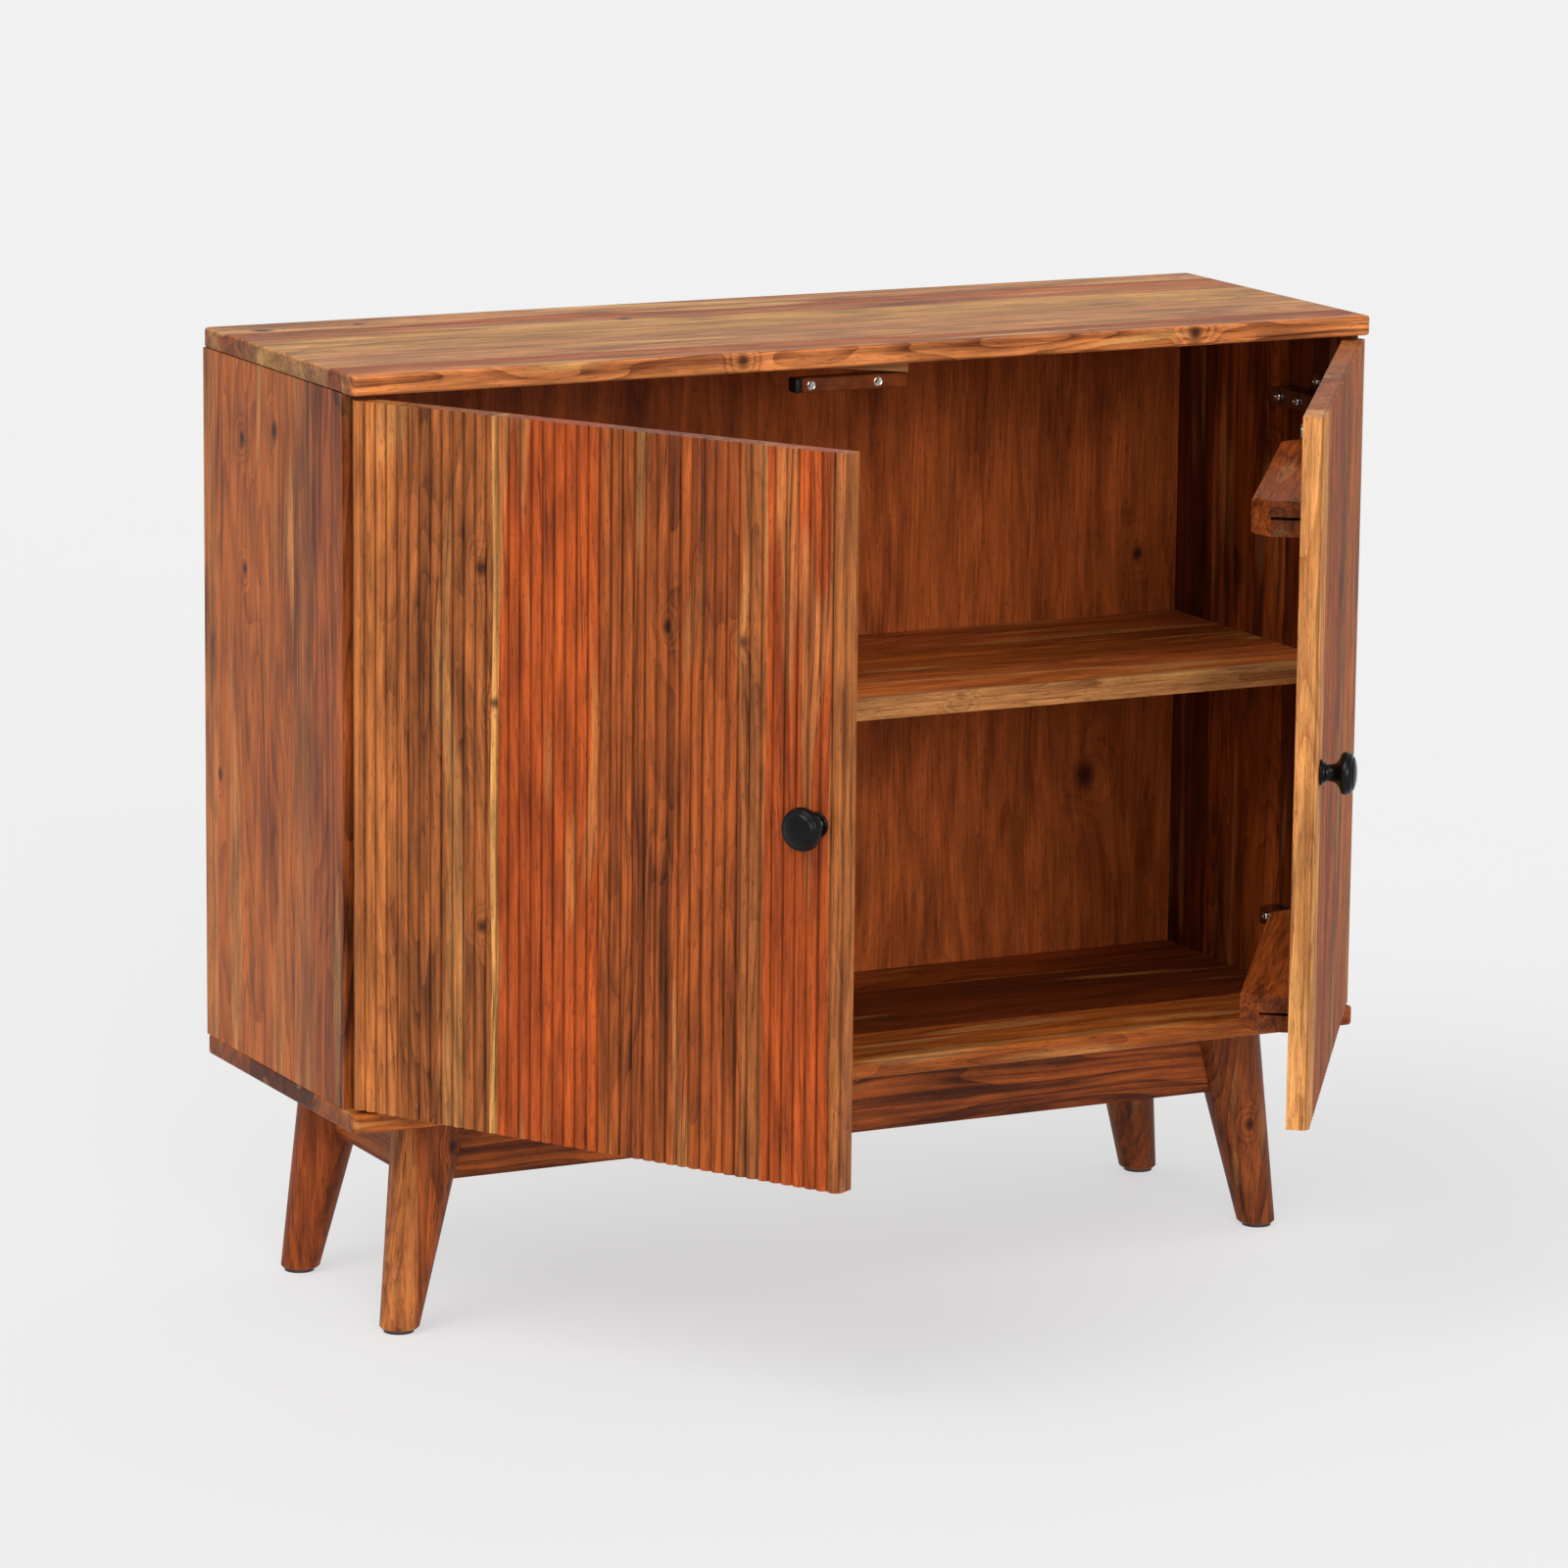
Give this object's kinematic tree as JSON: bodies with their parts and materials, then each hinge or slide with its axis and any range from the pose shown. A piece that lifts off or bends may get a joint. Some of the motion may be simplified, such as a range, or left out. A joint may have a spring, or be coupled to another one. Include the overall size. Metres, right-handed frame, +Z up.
{
  "type": "tv stand",
  "caption": "Low wooden TV stand: reeded double doors swing open on concealed hinges over a shelved cabinet on splayed tapered legs.",
  "frame": {"origin": "on the floor, under the middle of the cabinet's width and depth", "axes": "+Z up, +X to the right along the cabinet's width as seen from the front, +Y to the back; the doors are on the -Y side"},
  "size_m": [0.9, 0.6877, 0.768],
  "materials": {
    "acacia": "satin",
    "reeded_acacia": "satin",
    "leg_wood": "satin",
    "stained_plywood": "satin",
    "pale_packer": "matte",
    "beech_dowel": "matte",
    "knob_black": "satin",
    "nickel_steel": "satin",
    "zinc_steel": "satin",
    "nickel_magnet": "gloss",
    "brown_plastic": "matte",
    "black_plastic": "matte",
    "glide_plastic": "matte"
  },
  "bodies": {
    "cabinet": {"apron_dowels": "beech_dowel", "apron_front": "acacia", "apron_left": "acacia", "apron_rear": "acacia", "apron_right": "acacia", "arm_screws": "zinc_steel", "back_panel": "stained_plywood", "bottom_board": "acacia", "brace_bolts": "zinc_steel", "brace_nuts": "zinc_steel", "carcass_dowels": "beech_dowel", "catch_body": "brown_plastic", "catch_end_cap": "black_plastic", "catch_magnets": "nickel_magnet", "catch_packer": "pale_packer", "catch_screws": "zinc_steel", "corner_brace_front_left": "acacia", "corner_brace_front_right": "acacia", "corner_brace_rear_left": "acacia", "corner_brace_rear_right": "acacia", "frame_screws": "zinc_steel", "glides": "glide_plastic", "hinge_arm_lower_left": "nickel_steel", "hinge_arm_lower_right": "nickel_steel", "hinge_arm_upper_left": "nickel_steel", "hinge_arm_upper_right": "nickel_steel", "hinge_plate_lower_left": "nickel_steel", "hinge_plate_lower_right": "nickel_steel", "hinge_plate_upper_left": "nickel_steel", "hinge_plate_upper_right": "nickel_steel", "leg_front_left": "leg_wood", "leg_front_right": "leg_wood", "leg_rear_left": "leg_wood", "leg_rear_right": "leg_wood", "plate_screws": "zinc_steel", "shelf": "acacia", "side_panel_left": "acacia", "side_panel_right": "acacia", "top_board": "acacia"},
    "door_left": {"batten_lower_left": "acacia", "batten_screws_left": "zinc_steel", "batten_upper_left": "acacia", "cup_screws_left": "nickel_steel", "door_panel_left": "reeded_acacia", "hinge_cup_lower_left": "nickel_steel", "hinge_cup_upper_left": "nickel_steel", "knob_left": "knob_black", "knob_screw_left": "zinc_steel", "strike_left": "nickel_steel"},
    "door_right": {"batten_lower_right": "acacia", "batten_screws_right": "zinc_steel", "batten_upper_right": "acacia", "cup_screws_right": "nickel_steel", "door_panel_right": "reeded_acacia", "hinge_cup_lower_right": "nickel_steel", "hinge_cup_upper_right": "nickel_steel", "knob_right": "knob_black", "knob_screw_right": "zinc_steel", "strike_right": "nickel_steel"}
  },
  "joints": [
    {"name": "left_door_hinge", "type": "hinge", "parent": "cabinet", "child": "door_left", "pos_m": [-0.442, -0.1465, 0.472], "axis": [0, 0, -1], "range_deg": [-60, 45]},
    {"name": "right_door_hinge", "type": "hinge", "parent": "cabinet", "child": "door_right", "pos_m": [0.442, -0.1465, 0.472], "axis": [0, 0, 1], "range_deg": [-55, 50]}
  ]
}
